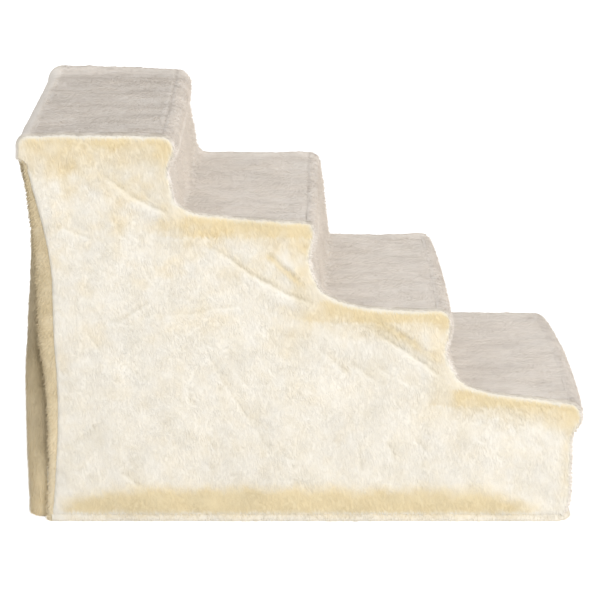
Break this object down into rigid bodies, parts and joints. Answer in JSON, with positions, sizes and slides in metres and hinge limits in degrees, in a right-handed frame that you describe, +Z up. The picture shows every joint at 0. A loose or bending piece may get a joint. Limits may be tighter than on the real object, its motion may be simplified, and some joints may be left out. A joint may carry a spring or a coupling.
{
  "type": "pet stairs",
  "caption": "Pet stairs with deep treads and overhanging noses: a snap-together moulded frame under a soft ivory faux-fur cover with a hanging back flap.",
  "frame": {"origin": "on the floor, at the centre of the footprint", "axes": "+X from the high back to the low front step, +Y across the treads to the far side, +Z up"},
  "size_m": [0.711, 0.406, 0.508],
  "materials": {
    "moulded_frame": "white moulded polypropylene with a fine spark-eroded grain",
    "rail_tube": "drawn tube, natural",
    "push_pin": "white moulded nylon",
    "rubber_foot": "moulded, matte",
    "tread_plush": "short dense ivory faux fur, brushed along the tread",
    "riser_plush": "short dense ivory faux fur",
    "side_plush": "short crushed ivory faux fur with a creamy tone in the folds",
    "back_plush": "short crushed ivory faux fur",
    "hem_plush": "turned and stitched ivory faux fur",
    "loop_tape": "woven loop tape",
    "hook_tape": "woven hook tape"
  },
  "bodies": {
    "stairs": {"side_frame_near": "moulded_frame", "side_frame_far": "moulded_frame", "tread_tray_1": "moulded_frame", "tread_tray_2": "moulded_frame", "tread_tray_3": "moulded_frame", "tread_tray_4": "moulded_frame", "riser_panel_1": "moulded_frame", "riser_panel_2": "moulded_frame", "riser_panel_3": "moulded_frame", "riser_panel_4": "moulded_frame", "rear_top_rail": "rail_tube", "rear_base_rail": "rail_tube", "middle_base_rail": "rail_tube", "front_base_rail": "rail_tube", "middle_upper_rail": "rail_tube", "tray_pins": "push_pin", "riser_pins": "push_pin", "foot_near_front": "rubber_foot", "foot_near_rear": "rubber_foot", "foot_far_front": "rubber_foot", "foot_far_rear": "rubber_foot", "tread_fur_1": "tread_plush", "tread_fur_2": "tread_plush", "tread_fur_3": "tread_plush", "tread_fur_4": "tread_plush", "riser_fur_1": "riser_plush", "riser_fur_2": "riser_plush", "riser_fur_3": "riser_plush", "riser_fur_4": "riser_plush", "side_fur_near": "side_plush", "side_fur_far": "side_plush", "rear_hem_near": "hem_plush", "rear_hem_far": "hem_plush", "base_hem_near": "hem_plush", "base_hem_far": "hem_plush", "base_hem_front": "hem_plush", "rear_band": "riser_plush", "loop_tabs": "loop_tape"},
    "flap": {"back_flap": "back_plush", "hook_tabs": "hook_tape"}
  },
  "joints": [
    {"name": "flap_lift", "type": "hinge", "parent": "stairs", "child": "flap", "pos_m": [-0.3555, 0, 0.48], "axis": [0, 1, 0], "range_deg": [0, 120]}
  ]
}
